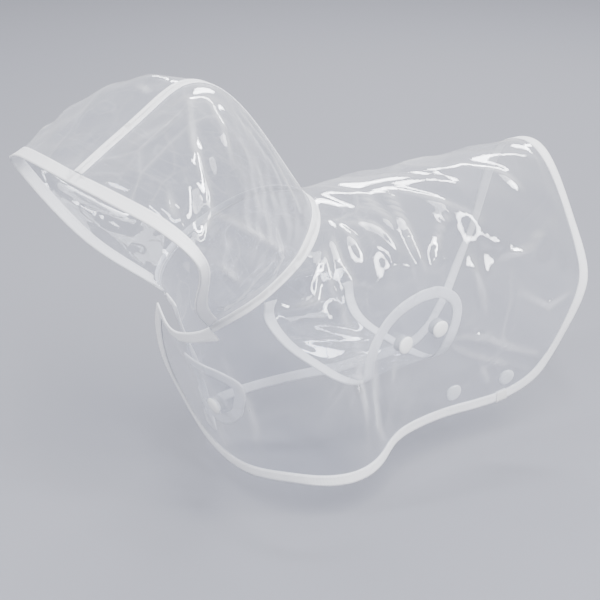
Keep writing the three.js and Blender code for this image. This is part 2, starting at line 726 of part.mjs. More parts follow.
addPiece("cape", cut(wallOf(cape), Object.values(spots).map((spot) => hole(spot))), finishes.film);
addPiece("hood_left", wallOf(hoodLeft), finishes.film);
addPiece("hood_right", wallOf(hoodRight), finishes.film);
const bellyHoles = [hole(spots.belly_snap_front, insideDepth), hole(spots.belly_snap_rear, insideDepth)];
addPiece("belly_strap", cut(wallOf(strapSheet), bellyHoles), finishes.film);
addPiece("chest_tab", cut(wallOf(tabSheet), [hole(spots.chest_snap, insideDepth)]), finishes.film);
for (const { name } of snaps) {
  addPiece(`${name}_outer`, setOn(turned(halfProfile), spots[name]), finishes.snap);
  addPiece(`${name}_inner`, setOn(turned(halfProfile), spots[name], insideDepth, true), finishes.clearSnap);
}
for (const { name } of spareSnaps) {
  addPiece(name, setOn(turned(halfProfile), spots[name]), finishes.clearSnap);
}

// Corners where bindings start and end.
const corner = (side) => hoodSurface(side)(brimEdge, 1);
const leftCorner = corner("left");
const rightCorner = corner("right");
const tapeHalf = tapeWidth / 2 + seamGap;
const hemEdge = rimBetween(cape, leftCorner, rightCorner, bandEnds, bandEnds);
addPiece("hem_binding", bindingOn(cape, hemEdge), finishes.binding);
const brimCut = tapeHalf - brimOverrun;
const brimRight = rimBetween(hoodRight, rightCorner, hoodSurface("right")(brimEdge, 0), brimCut, 0);
const brimLeft = rimBetween(hoodLeft, hoodSurface("left")(brimEdge, 0), leftCorner, 0, brimCut);
const brimTop = brimRight.at(-1).clone().lerp(brimLeft[0], 0.5);
const brimPath = [...brimRight.slice(0, -1), brimTop, ...brimLeft.slice(1)];
const neckEdge = rimBetween(cape, rightCorner, leftCorner);
const neckPath = neckEdge.map((p) => p.clone().addScaledVector(up, hoodRise / 2));
addPiece("neck_tape", tapeOn([cape, hoodWhole], neckPath, { lift: neckLift }), finishes.binding);
// The brim binding stops short of the neck tape.
const neckClearance = [tapeWidth, tapeWidth + 3 * seamGap].map((width) =>
  tapeOn([cape, hoodWhole], neckPath, { width, ...clearance }),
);
addPiece("brim_binding", cut(bindingOn(hoodWhole, brimPath), neckClearance), finishes.binding);
const crownPath = hoodLength.map((u) => nearestOn(hoodLeft, hoodSurface("left")(u, 0)).point.clone());
crownPath.forEach((p, i) => p.copy(nearestOn(hoodRight, p).point.clone().lerp(p, 0.5)));
const seamPath = shortened(shortened(crownPath, tapeLeg + seamGap).reverse(), tapeHalf).reverse();
addPiece("crown_tape", tapeOn([hoodRight, hoodLeft], seamPath), finishes.binding);

// Bindings of the strap and the tab, on the edges that aren't sewn down.
const strapEdge = rimBetween(strapSheet, strapSurface(1, 1), strapSurface(0, 1), strapSewn, strapSewn);
addPiece("belly_strap_binding", bindingOn(strapSheet, strapEdge), finishes.binding);
const tabEdge = rimBetween(tabSheet, tabSurface(0, 0), tabSurface(0, 1), bandEnds, bandEnds);
addPiece("chest_tab_binding", bindingOn(tabSheet, tabEdge), finishes.binding);

export default raincoat;
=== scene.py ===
import math

import bmesh
import bpy
import numpy as np
from mathutils import Matrix, Vector
from mathutils.bvhtree import BVHTree
from mathutils.kdtree import KDTree


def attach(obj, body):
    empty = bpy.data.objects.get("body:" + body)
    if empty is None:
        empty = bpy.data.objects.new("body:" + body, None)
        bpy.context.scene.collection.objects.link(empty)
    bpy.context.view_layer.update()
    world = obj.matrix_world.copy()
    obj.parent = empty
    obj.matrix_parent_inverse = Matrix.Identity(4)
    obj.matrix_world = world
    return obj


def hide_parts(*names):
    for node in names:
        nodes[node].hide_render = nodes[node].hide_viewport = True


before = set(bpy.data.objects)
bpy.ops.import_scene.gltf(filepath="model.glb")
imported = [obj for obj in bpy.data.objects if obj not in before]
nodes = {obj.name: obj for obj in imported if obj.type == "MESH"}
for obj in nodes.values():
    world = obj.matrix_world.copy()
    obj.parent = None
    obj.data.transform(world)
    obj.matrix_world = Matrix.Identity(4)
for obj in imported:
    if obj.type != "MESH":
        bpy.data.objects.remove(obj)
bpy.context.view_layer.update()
mm = 0.001  # the tables are in millimetres, in the frame of the CAD
print("frame loaded:", len(nodes), "nodes")


# Shader maths: a socket that takes part in Python expressions.
class Field:
    def __init__(self, shade, socket):
        self.shade = shade
        self.socket = socket

    def math(self, operation, first, second=0.0):
        node = self.shade.add("ShaderNodeMath", {"operation": operation}, {0: first, 1: second})
        return node(0)

    def __add__(self, other):
        return self.math("ADD", self, other)

    def __radd__(self, other):
        return self.math("ADD", other, self)

    def __sub__(self, other):
        return self.math("SUBTRACT", self, other)

    def __rsub__(self, other):
        return self.math("SUBTRACT", other, self)

    def __mul__(self, other):
        return self.math("MULTIPLY", self, other)

    def __rmul__(self, other):
        return self.math("MULTIPLY", other, self)

    def __pow__(self, other):
        return self.math("POWER", self, other)

    def wave(self):
        return self.math("SINE", self)

    def lowest(self, other):
        return self.math("MINIMUM", self, other)

    def held(self):
        return self.math("MAXIMUM", self, 0.0).lowest(1.0)


class Shade:
    def __init__(self, name):
        self.material = bpy.data.materials.new(name)
        self.material.use_nodes = True
        self.tree = self.material.node_tree
        self.tree.nodes.clear()

    def add(self, kind, settings=None, values=None):
        node = self.tree.nodes.new(kind)
        for key, value in (settings or {}).items():
            setattr(node, key, value)
        for key, value in (values or {}).items():
            if isinstance(value, Field):
                self.tree.links.new(value.socket, node.inputs[key])
            else:
                node.inputs[key].default_value = value
        return lambda output: Field(self, node.outputs[output])

    def finish(self, surface):
        self.add("ShaderNodeOutputMaterial", None, {"Surface": surface})
        return self.material


filmFinish = {
    "tint": (0.962, 0.968, 0.984, 1.0),
    "haze": (0.97, 0.975, 1.0, 1.0),
    "gloss": 0.06,
    "mirror": 0.62,
    "clear": 0.085,  # how much shows where the film faces the eye
    "grazing": 0.75,  # how much more shows at its edges, and how suddenly
    "grazingPower": 2.4,
    "grazingBlend": 0.35,
    "fineGlintWhite": 0.16,  # painted highlight: how white the film goes along its fine creases
    "foldGlintWhite": 0.5,  # and the painted highlight along the modelled ones
    "wideFacets": 17.0,  # flat places between creases, to the metre
    "fineFacets": 43.0,
    "wideGlintThin": 26.0,  # the higher, the thinner a crease's painted glint line
    "fineGlintThin": 20.0,
    "fineGlintShare": 0.6,
    "stretch": (1.0, 0.8, 0.5),  # creases run longest down the film
    "wander": 0.0104,
    "wanderScale": 20.0,
    "patches": 13.0,  # the painted glints along the creases keep to patches
    "patchFrom": 0.433,
    "patchEdge": 3.35,
    "facetHeight": 5.5 * mm,
    "facetTop": 0.3,
    "bump": 0.8,
}


def makeFilm(settings):
    shade = Shade("clearFilm")
    place = shade.add("ShaderNodeTexCoord")("Object")
    drawn = shade.add("ShaderNodeMapping", None, {
        "Vector": place, "Scale": settings["stretch"]})("Vector")
    sway = shade.add("ShaderNodeTexNoise", None, {
        "Vector": drawn, "Scale": settings["wanderScale"], "Detail": 0.0})("Color")
    bent = shade.add("ShaderNodeVectorMath", {"operation": "MULTIPLY_ADD"}, {
        0: sway, 1: (settings["wander"],) * 3, 2: drawn})("Vector")

    # How far a point lies from the nearest crease, on facets of a given size.
    def fromCrease(scale):
        return shade.add("ShaderNodeTexVoronoi", {"feature": "DISTANCE_TO_EDGE"}, {
            "Vector": bent, "Scale": scale})("Distance")

    wide, fine = fromCrease(settings["wideFacets"]), fromCrease(settings["fineFacets"])
    patch = shade.add("ShaderNodeTexNoise", None, {
        "Vector": place, "Scale": settings["patches"], "Detail": 0.0})("Fac")
    glintPatch = ((patch - settings["patchFrom"]) * settings["patchEdge"]).held()
    # Painted highlights: the film's white body shows more along the creases, as thin glint lines, wherever
    # the lamps are.
    wideGlint = (1 - wide * settings["wideGlintThin"]).held() ** 2.0
    fineGlint = (1 - fine * settings["fineGlintThin"]).held() ** 2.0 * settings["fineGlintShare"]
    creaseGlint = shade.add("ShaderNodeAttribute", {"attribute_name": "creaseGlint"})("Fac")
    facing = shade.add("ShaderNodeLayerWeight", None, {"Blend": settings["grazingBlend"]})("Facing")
    edges = settings["grazing"] * facing ** settings["grazingPower"]
    # The painted glints, in patches, along the facets' creases and along the modelled ones.
    lines = settings["fineGlintWhite"] * (wideGlint + fineGlint) * glintPatch + settings["foldGlintWhite"] * creaseGlint
    shows = (settings["clear"] + edges + lines).held()
    bump = shade.add("ShaderNodeBump", None, {
        "Strength": settings["bump"], "Distance": settings["facetHeight"],
        "Height": wide.lowest(settings["facetTop"])})("Normal")
    body = shade.add("ShaderNodeBsdfPrincipled", None, {
        "Base Color": settings["haze"], "Roughness": settings["gloss"],
        "Metallic": settings["mirror"] * (1 - facing * facing),
        "Normal": bump})("BSDF")
    through = shade.add("ShaderNodeBsdfTransparent", None, {"Color": settings["tint"]})("BSDF")
    return shade.finish(shade.add("ShaderNodeMixShader", None, {0: shows, 1: through, 2: body})(0))


bindingFinish = {
    "colour": (0.9, 0.905, 0.935, 1.0),
    "rough": 0.82,
    "rib": 0.9 * mm,  # from one rib of the weave to the next
    "ribHeight": 0.12 * mm,
    "warp": 0.6,
    "weft": 0.4,
    "pucker": 6.0,
    "puckerScale": 160.0,
    "bump": 0.7,
}


def makeBinding(settings):
    shade = Shade("wovenBinding")
    along = shade.add("ShaderNodeAttribute", {"attribute_name": "along"})("Fac")
    across = shade.add("ShaderNodeAttribute", {"attribute_name": "across"})("Fac")
    turn = 2 * math.pi / settings["rib"]
    weave = (along * turn).wave() * settings["warp"] + (across * turn).wave() * settings["weft"]
    place = shade.add("ShaderNodeTexCoord")("Object")
    pucker = shade.add("ShaderNodeTexNoise", None, {
        "Vector": place, "Scale": settings["puckerScale"], "Detail": 1.0})("Fac")
    bump = shade.add("ShaderNodeBump", None, {
        "Strength": settings["bump"], "Distance": settings["ribHeight"],
        "Height": weave + pucker * settings["pucker"]})("Normal")
    return shade.finish(shade.add("ShaderNodeBsdfPrincipled", None, {
        "Base Color": settings["colour"], "Roughness": settings["rough"], "Normal": bump})("BSDF"))


# A clear snap lets some light through: "shows" is the share of it that is seen, face on.
whiteFinish = {
    "name": "whiteSnap",
    "colour": (0.93, 0.935, 0.95, 1.0),
    "rough": 0.24,
    "coat": 0.4,
    "shows": 1,
}
clearFinish = {
    "name": "clearSnap",
    "colour": (0.86, 0.88, 0.92, 1.0),
    "rough": 0.2,
    "coat": 0.4,
    "shows": 0.4,
    "through": (0.95, 0.96, 0.98, 1.0),
    "blend": 0.4,
}


def makeSnap(settings):
    shade = Shade(settings["name"])
    body = shade.add("ShaderNodeBsdfPrincipled", None, {
        "Base Color": settings["colour"], "Roughness": settings["rough"],
        "Coat Weight": settings["coat"]})("BSDF")
    shows = settings["shows"]
    if shows == 1:
        return shade.finish(body)
    through = shade.add("ShaderNodeBsdfTransparent", None, {"Color": settings["through"]})("BSDF")
    facing = shade.add("ShaderNodeLayerWeight", None, {"Blend": settings["blend"]})("Facing")
    part = (shows + (1 - shows) * facing).held()
    return shade.finish(shade.add("ShaderNodeMixShader", None, {0: part, 1: through, 2: body})(0))


def makePlain(name, colour, rough):
    shade = Shade(name)
    return shade.finish(shade.add("ShaderNodeBsdfPrincipled", None, {
        "Base Color": colour, "Roughness": rough})("BSDF"))


film = makeFilm(filmFinish)
binding = makeBinding(bindingFinish)
snapWhite = makeSnap(whiteFinish)
snapClear = makeSnap(clearFinish)
threadFinish = {"colour": (0.8, 0.81, 0.85, 1.0), "rough": 0.7}
thread = makePlain("thread", threadFinish["colour"], threadFinish["rough"])
print("materials made")


def objectOf(name, mesh):
    made = bpy.data.objects.new(name, mesh)
    bpy.context.scene.collection.objects.link(made)
    return made


def plainMesh(made):
    depsgraph = bpy.context.evaluated_depsgraph_get()
    return bpy.data.meshes.new_from_object(made.evaluated_get(depsgraph), depsgraph=depsgraph)


def meshArrays(mesh):
    points = np.empty(len(mesh.vertices) * 3)
    normals = np.empty(len(mesh.vertices) * 3)
    mesh.vertices.foreach_get("co", points)
    mesh.vertices.foreach_get("normal", normals)
    return points.reshape(-1, 3), normals.reshape(-1, 3)


def setPoints(mesh, points):
    mesh.vertices.foreach_set("co", points.ravel())
    mesh.update()


def treeOf(*meshes):
    points, faces = [], []
    for mesh in meshes:
        shift = len(points)
        points += [v.co.copy() for v in mesh.vertices]
        faces += [[i + shift for i in f.vertices] for f in mesh.polygons]
    return BVHTree.FromPolygons(points, faces)


# A finer copy of a mesh, with the sharp edges kept by a crease.
def refined(mesh, levels, sharp=None):
    work = objectOf("work", mesh)
    if sharp is not None:
        bm = bmesh.new()
        bm.from_mesh(mesh)
        layer = bm.edges.layers.float.new("crease_edge")
        for edge in bm.edges:
            if len(edge.link_faces) == 2 and edge.calc_face_angle() > sharp["angle"]:
                edge[layer] = sharp["crease"]
        bm.to_mesh(mesh)
        bm.free()
    finer = work.modifiers.new("finer", "SUBSURF")
    finer.levels = finer.render_levels = levels
    finer.boundary_smooth = "PRESERVE_CORNERS"
    result = plainMesh(work)
    bpy.data.objects.remove(work)
    return result


cutting = {
    "merge": 0.02 * mm,
    "rimAngle": math.radians(48),  # a sharper edge ends the outer face
    "halfWall": 0.5 * mm,
    "holeRim": 24 * mm,  # a ring shorter than this is a snap's hole
    "joinFaces": math.radians(70),
    "joinShapes": math.radians(80),
}


# The outer face of a film node, moved in to the middle of its wall, with the snap holes closed.
def middleOf(name, within):
    bm = bmesh.new()
    bm.from_mesh(nodes[name].data)
    bmesh.ops.remove_doubles(bm, verts=bm.verts, dist=cutting["merge"])
    centre = Vector(within) * mm
    seen, best, bestScore = set(), [], -math.inf

    # How much of a region looks away from the middle of the coat.
    def outwardArea(faces):
        away = [(f.calc_center_median() - centre).normalized() for f in faces]
        return sum(f.calc_area() * f.normal.dot(direction) for f, direction in zip(faces, away))

    for start in bm.faces:
        if start in seen:
            continue
        region, queue = [], [start]
        seen.add(start)
        while queue:
            face = queue.pop()
            region.append(face)
            for edge in face.edges:
                if len(edge.link_faces) != 2 or edge.calc_face_angle() > cutting["rimAngle"]:
                    continue
                for other in edge.link_faces:
                    if other not in seen:
                        seen.add(other)
                        queue.append(other)
        score = outwardArea(region)
        if score > bestScore:
            best, bestScore = region, score
    keep = set(best)
    bmesh.ops.delete(bm, geom=[f for f in bm.faces if f not in keep], context="FACES")
    bm.normal_update()
    for vert in bm.verts:
        vert.co = vert.co - vert.normal * cutting["halfWall"]
    for loop in rimLoops(bm):
        if sum((a.co - b.co).length for a, b in zip(loop, loop[1:] + loop[:1])) < cutting["holeRim"]:
            bm.faces.new(loop)
    bmesh.ops.recalc_face_normals(bm, faces=bm.faces)
    bmesh.ops.join_triangles(bm, faces=bm.faces, angle_face_threshold=cutting["joinFaces"],
                             angle_shape_threshold=cutting["joinShapes"])
    mesh = bpy.data.meshes.new(name + "Middle")
    bm.to_mesh(mesh)
    bm.free()
    points, normals = meshArrays(mesh)
    if ((points - np.array(centre)) * normals).sum() < 0:
        mesh.flip_normals()
    return mesh


# The open edges of a mesh as rings of vertices.
def rimLoops(bm):
    following = {}
    for edge in bm.edges:
        if len(edge.link_faces) == 1:
            loop = edge.link_loops[0]
            following[loop.link_loop_next.vert] = loop.vert
    loops = []
    while following:
        start, vert = next(iter(following.items()))
        ring = [start]
        del following[start]
        while vert in following:
            ring.append(vert)
            vert = following.pop(vert)
        loops.append(ring)
    return loops


# How far each point lies from a line through places, and how far along that line, from 0 to 1.
def besideLine(points, line):
    corners = np.array(line, float) * mm
    lengths = np.linalg.norm(np.diff(corners, axis=0), axis=1)
    starts = np.concatenate([[0], np.cumsum(lengths)])
    away = np.full(len(points), np.inf)
    share = np.zeros(len(points))
    for a, b, length, start in zip(corners, corners[1:], lengths, starts):
        t = np.clip(((points - a) @ (b - a)) / length**2, 0, 1)
        distance = np.linalg.norm(points - (a + t[:, None] * (b - a)), axis=1)
        nearer = distance < away
        away = np.where(nearer, distance, away)
        share = np.where(nearer, (start + t * length) / starts[-1], share)
    return away, share


creasing = {
    "rimClear": 8 * mm,  # the film stays put this near its rim and its snaps
    "snapClear": 8 * mm,
    "blend": 9 * mm,
    "round": 0.03,  # how blunt a crease's ridge is
    "dip": 0.45,  # how deep the film sinks beside it, and how wide
    "dipReach": 2.2,
    "endRise": 0.1,  # how high a crease is at its ends
    "line": 1.9 * mm,  # half as wide as the painted glint line on it
}
# Slow waves that keep the film from lying flat: a wave's length on each axis, its height and start.
filmWaves = [
    {"length": (46, 61, 38), "height": 0.55, "start": 0.4},
    {"length": (-29, 43, 52), "height": 0.35, "start": 2.1},
    {"length": (22, -27, 31), "height": 0.2, "start": 4.0},
]


# Moves the film out along its creases and waves, and leaves it alone at its rim and at the snaps.
def creased(mesh, creases, snapPlaces):
    bm = bmesh.new()
    bm.from_mesh(mesh)
    rim = [v.co.copy() for v in bm.verts if v.is_boundary]
    bm.free()
    points, normals = meshArrays(mesh)
    still = KDTree(len(rim))
    for i, place in enumerate(rim):
        still.insert(place, i)
    still.balance()
    fromRim = np.array([still.find(p)[2] for p in points])
    free = np.clip((fromRim - creasing["rimClear"]) / creasing["blend"], 0, 1)
    for place in snapPlaces:
        away = np.linalg.norm(points - np.array(place), axis=1)
        free = np.minimum(free, np.clip((away - creasing["snapClear"]) / creasing["blend"], 0, 1))
    free = free * free * (3 - 2 * free)
    rise = np.zeros(len(points))
    # line holds the painted glint along the ridge of each crease.
    line = np.zeros(len(points))
    for crease in creases:
        away, share = besideLine(points, crease["line"])
        ratio = away / (crease["width"] * mm)
        core = np.exp(-np.sqrt(ratio**2 + creasing["round"]))
        dip = creasing["dip"] * ratio**2 * np.exp(-(ratio**2) / creasing["dipReach"])
        ends = np.sin(math.pi * (creasing["endRise"] + (1 - 2 * creasing["endRise"]) * share))
        rise += crease["rise"] * mm * (core - dip) * ends
        line = np.maximum(line, np.exp(-((away / creasing["line"]) ** 2)) * ends)
    for wave in filmWaves:
        phase = (points / (np.array(wave["length"]) * mm)).sum(axis=1) * 2 * math.pi
        rise += wave["height"] * mm * np.sin(phase + wave["start"])
    setPoints(mesh, points + normals * (rise * free)[:, None])
    # The painted glint goes to the film's material as an attribute.
    mesh.attributes.new("creaseGlint", "FLOAT", "POINT").data.foreach_set("value", line * free)


# The wearer's left is +X. The far side's creases are like the near side's, and not their mirror image.
capeCreases = [
    {"line": [(57, 14, -98), (60, 50, -107), (59, 73, -121), (58, 100, -133)], "rise": 2.4, "width": 3.4},
    {"line": [(57, 14, -101), (57, 40, -119), (56, 73, -135), (57, 98, -146)], "rise": 2.2, "width": 3.4},
    {"line": [(53, 31, -92), (54, 46, -120), (53, 60, -147)], "rise": 1.7, "width": 2.6},
    {"line": [(41, -76, -10), (54, -80, -26), (60, -78, -46)], "rise": 2.2, "width": 3.2},
    {"line": [(42, -68, -12), (53, -69, -27), (57, -62, -41)], "rise": 2.0, "width": 3},
    {"line": [(33, -55, -8), (45, -54, -17), (53, -52, -26)], "rise": 1.7, "width": 2.8},
    {"line": [(33, -54, -8), (39, -34, -11), (49, -26, -21), (53, -23, -28)], "rise": 1.6, "width": 2.8},
    {"line": [(13, -24, 0), (31, -24, -6), (42, -20, -15)], "rise": 1.4, "width": 2.8},
    {"line": [(47, -81, -17), (58, -90, -44), (47, -136, -49)], "rise": 2.4, "width": 4},
    {"line": [(61, -46, -86), (61, -44, -114), (64, -43, -144), (63, -37, -156)], "rise": -2.8, "width": 4.5},
    {"line": [(59, -76, -42), (62, -71, -63), (64, -62, -80), (67, -58, -150)], "rise": 2.2, "width": 3.6},
    {"line": [(60, -29, -98), (60, -29, -119)], "rise": 1.5, "width": 3},
    {"line": [(16, -6, 0), (38, -12, -11), (52, -10, -29), (56, -3, -46)], "rise": 2.0, "width": 3.2},
    {"line": [(41, 31, -13), (49, 14, -24), (56, 2, -44)], "rise": 1.9, "width": 3.2},
    {"line": [(16, -6, 0), (29, 12, -4), (41, 31, -13), (48, 51, -26)], "rise": 1.8, "width": 3.2},
    {"line": [(58, 52, -56), (55, 90, -50), (42, 124, -38)], "rise": 1.9, "width": 4.5},
    {"line": [(55, 36, -40), (58, 42, -66), (57, 50, -88)], "rise": 1.5, "width": 4},
    {"line": [(60, 78, -80), (60, 106, -98), (59, 128, -92)], "rise": 1.8, "width": 4},
    {"line": [(8, 60, 1), (24, 84, -4), (40, 96, -16)], "rise": 1.5, "width": 4},
    {"line": [(-4, 16, 1), (-18, 34, 0), (-22, 62, -2)], "rise": 1.3, "width": 4.5},
    {"line": [(-44, -78, -14), (-57, -84, -40), (-61, -72, -72)], "rise": 2.2, "width": 4.5},
    {"line": [(-62, -50, -88), (-63, -46, -116), (-64, -42, -150)], "rise": -2.6, "width": 5.5},
    {"line": [(-57, 4, -94), (-60, 50, -110), (-60, 92, -116)], "rise": 2.2, "width": 4.5},
    {"line": [(-58, 68, -58), (-58, 80, -92), (-56, 90, -128)], "rise": 1.8, "width": 4},
    {"line": [(-20, 10, -1), (-45, 2, -18), (-56, 16, -52)], "rise": 1.7, "width": 4},
    {"line": [(-34, 56, -8), (-50, 38, -30), (-57, 30, -62)], "rise": 1.6, "width": 4},
    {"line": [(-50, 98, -70), (-46, 120, -50), (-30, 134, -24)], "rise": 1.9, "width": 4.5},
    {"line": [(2, -124, -160), (12, -136, -120), (6, -150, -84)], "rise": 1.8, "width": 4},
    {"line": [(36, -116, -152), (38, -128, -112), (30, -140, -80)], "rise": 2.0, "width": 4.5},
    {"line": [(-24, -122, -140), (-22, -136, -104), (-12, -148, -80)], "rise": 1.6, "width": 4},
]
hoodLeftCreases = [
    {"line": [(27, -157, 86), (62, -176, 72), (92, -184, 43)], "rise": 2.8, "width": 3.4},
    {"line": [(31, -149, 88), (59, -154, 75), (72, -156, 59)], "rise": 2.0, "width": 3},
    {"line": [(25, -122, 72), (26, -99, 39), (36, -90, 8)], "rise": 1.8, "width": 3.4},
    {"line": [(92, -184, 43), (100, -197, 33)], "rise": 2.0, "width": 4},
    {"line": [(92, -184, 43), (84, -156, 24), (60, -118, -4)], "rise": 2.5, "width": 4.5},
    {"line": [(100, -188, 19), (86, -170, 2), (72, -154, -13)], "rise": 1.9, "width": 3.5},
    {"line": [(71, -173, -18), (60, -160, -30), (49, -147, -39)], "rise": 1.7, "width": 3.5},
    {"line": [(30, -120, 62), (48, -132, 40), (58, -128, 8)], "rise": 1.8, "width": 4},
    {"line": [(44, -196, 76), (70, -200, 58), (92, -204, 36)], "rise": 1.5, "width": 3.5},
]
hoodRightCreases = [
    {"line": [(-20, -164, 84), (-2, -162, 82)], "rise": 1.8, "width": 4},
    {"line": [(-24, -152, 84), (-54, -170, 70), (-86, -178, 40)], "rise": 2.6, "width": 4.5},
    {"line": [(-84, -180, 38), (-74, -150, 20), (-56, -116, -2)], "rise": 2.3, "width": 4.5},
    {"line": [(-90, -190, 14), (-78, -170, -2), (-64, -150, -16)], "rise": 1.8, "width": 3.5},
    {"line": [(-40, -200, 76), (-66, -202, 60), (-84, -200, 30)], "rise": 1.6, "width": 3.5},
    {"line": [(-28, -118, 58), (-44, -128, 34), (-54, -126, 4)], "rise": 1.7, "width": 4},
]
strapCreases = [
    {"line": [(40, -44, -120), (10, -20, -124), (-30, 6, -122)], "rise": 1.3, "width": 4},
    {"line": [(56, -34, -80), (56, -10, -96), (54, 14, -112)], "rise": 1.1, "width": 3.5},
    {"line": [(-52, -40, -100), (-54, -10, -92), (-54, 10, -100)], "rise": 1.2, "width": 4},
]
# Each sheet of film: its node, a place inside the coat, and its cut, in metres and square metres.
sheets = [
    {"name": "cape", "within": (0, 0, -90), "levels": 2, "creases": capeCreases,
     "flat": (0.413, 0.335), "area": 0.1126, "held": "draped"},
    {"name": "hood_left", "within": (0, -140, 20), "levels": 3, "creases": hoodLeftCreases,
     "flat": (0.194, 0.2), "area": 0.024, "held": "draped"},
    {"name": "hood_right", "within": (0, -140, 20), "levels": 3, "creases": hoodRightCreases,
     "flat": (0.194, 0.2), "area": 0.0244, "held": "draped"},
    {"name": "belly_strap", "within": (0, -15, -60), "levels": 2, "creases": strapCreases,
     "flat": (0.073, 0.186), "area": 0.0134, "held": "hung"},
    {"name": "chest_tab", "within": (0, -60, -115), "levels": 2, "creases": [],
     "flat": (0.054, 0.075), "area": 0.00295, "held": "hung"},
]

snapShape = {
    "sides": 48,
    "filmAbove": 1.8,  # from the lowest point of the CAD half to the middle of its film
    "ringShare": 0.98,  # of the largest radius: what still counts as the widest ring
    # Radius and height, in millimetres from the middle of the film.
    "cap": [
        (6.0, 0.32), (6.1, 0.62), (5.95, 0.95), (5.5, 1.3),
        (4.7, 1.62), (3.4, 1.86), (1.8, 1.98), (0.0, 2.02),
    ],
    "socket": [(0.0, -1.9), (3.9, -1.9), (4.5, -1.72), (4.7, -1.4), (4.7, -0.32)],
}
snapHalves = [
    {"name": "chest_snap_outer", "slot": "snap_white"},
    {"name": "chest_snap_inner", "slot": "snap_clear"},
    {"name": "belly_snap_front_outer", "slot": "snap_white"},
    {"name": "belly_snap_front_inner", "slot": "snap_clear"},
    {"name": "belly_snap_rear_outer", "slot": "snap_white"},
    {"name": "belly_snap_rear_inner", "slot": "snap_clear"},
    {"name": "spare_snap_front", "slot": "snap_clear"},
    {"name": "spare_snap_rear", "slot": "snap_clear"},
]


# Where a snap half goes through the film, and its axis towards the cap, which holds its widest ring.
def snapPlace(name):
    points = np.unique(np.round(meshArrays(nodes[name].data)[0], 7), axis=0)
    middle = points.mean(axis=0)
    _, directions = np.linalg.eigh(np.cov((points - middle).T))
    axis = directions[:, 0]
    height = (points - middle) @ axis
    radius = np.linalg.norm((points - middle) - height[:, None] * axis, axis=1)
    widest = height[radius > radius.max() * snapShape["ringShare"]].mean()
    if widest < (height.min() + height.max()) / 2:
        axis, height = -axis, -height
    return Vector(middle + axis * (height.min() + snapShape["filmAbove"] * mm)), Vector(axis)


places = {snapHalf["name"]: snapPlace(snapHalf["name"]) for snapHalf in snapHalves}
snapCentres = [place for place, _ in places.values()]
slotFinish = {"snap_white": snapWhite, "snap_clear": snapClear}


# A snap half, turned on Z about the middle of its film.
def turnedHalf(settings):
    sides = settings["sides"]
    turns = [2 * math.pi * i / sides for i in range(sides)]
    bm = bmesh.new()
    rings = []
    for radius, height in settings["socket"] + settings["cap"]:
        if radius == 0:
            rings.append([bm.verts.new((0, 0, height * mm))])
            continue
        ring = [(radius * mm * math.cos(a), radius * mm * math.sin(a), height * mm) for a in turns]
        rings.append([bm.verts.new(place) for place in ring])
    for lower, upper in zip(rings, rings[1:]):
        for i in range(sides):
            k = (i + 1) % sides
            if len(lower) == 1:
                bm.faces.new((lower[0], upper[k], upper[i]))
            elif len(upper) == 1:
                bm.faces.new((lower[i], lower[k], upper[0]))
            else:
                bm.faces.new((lower[i], lower[k], upper[k], upper[i]))
    bmesh.ops.recalc_face_normals(bm, faces=bm.faces)
    for face in bm.faces:
        face.smooth = True
    return bm


for snapHalf in snapHalves:
    place, axis = places[snapHalf["name"]]
    turned = turnedHalf(snapShape)
    turned.transform(Matrix.Translation(place) @ axis.to_track_quat("Z", "Y").to_matrix().to_4x4())
    mesh = bpy.data.meshes.new(snapHalf["name"] + "Half")
    turned.to_mesh(mesh)
    turned.free()
    made = objectOf(snapHalf["name"] + "_half", mesh)
    mesh.materials.append(slotFinish[snapHalf["slot"]])
    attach(made, "root")
    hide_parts(snapHalf["name"])
print("snaps made")

middles = {}
for sheet in sheets:
    middle = refined(middleOf(sheet["name"], sheet["within"]), sheet["levels"])
    creased(middle, sheet["creases"], snapCentres)
    for face in middle.polygons:
        face.use_smooth = True
    middles[sheet["name"]] = middle
    print("film", sheet["name"], len(middle.polygons), "faces")

bands = [
    {"name": "hem_binding", "on": ["cape"], "stitch": 5.9, "sides": (1, -1)},
    {"name": "brim_binding", "on": ["hood_left", "hood_right"], "stitch": 5.9, "sides": (1, -1)},
    {"name": "neck_tape", "on": ["cape", "hood_left", "hood_right"], "stitch": 2.9, "sides": (1,)},
    {"name": "crown_tape", "on": ["hood_left", "hood_right"], "stitch": 2.9, "sides": (1,)},
    {"name": "belly_strap_binding", "on": ["belly_strap"], "stitch": 5.9, "sides": (1, -1)},
    {"name": "chest_tab_binding", "on": ["chest_tab"], "stitch": 5.9, "sides": (1, -1)},
]
bandShape = {
    "inner": 1.0 * mm,  # the CAD's band keeps this far from the middle of its film
    "skin": 0.17 * mm,  # and the woven tape this far
    "keep": 0.45,  # of the rest of the CAD's thickness
    "levels": 2,
    "angle": math.radians(50),
    "crease": 0.75,
    "merge": 0.01 * mm,
    "joinFaces": math.radians(30),
    "joinShapes": math.radians(80),
}


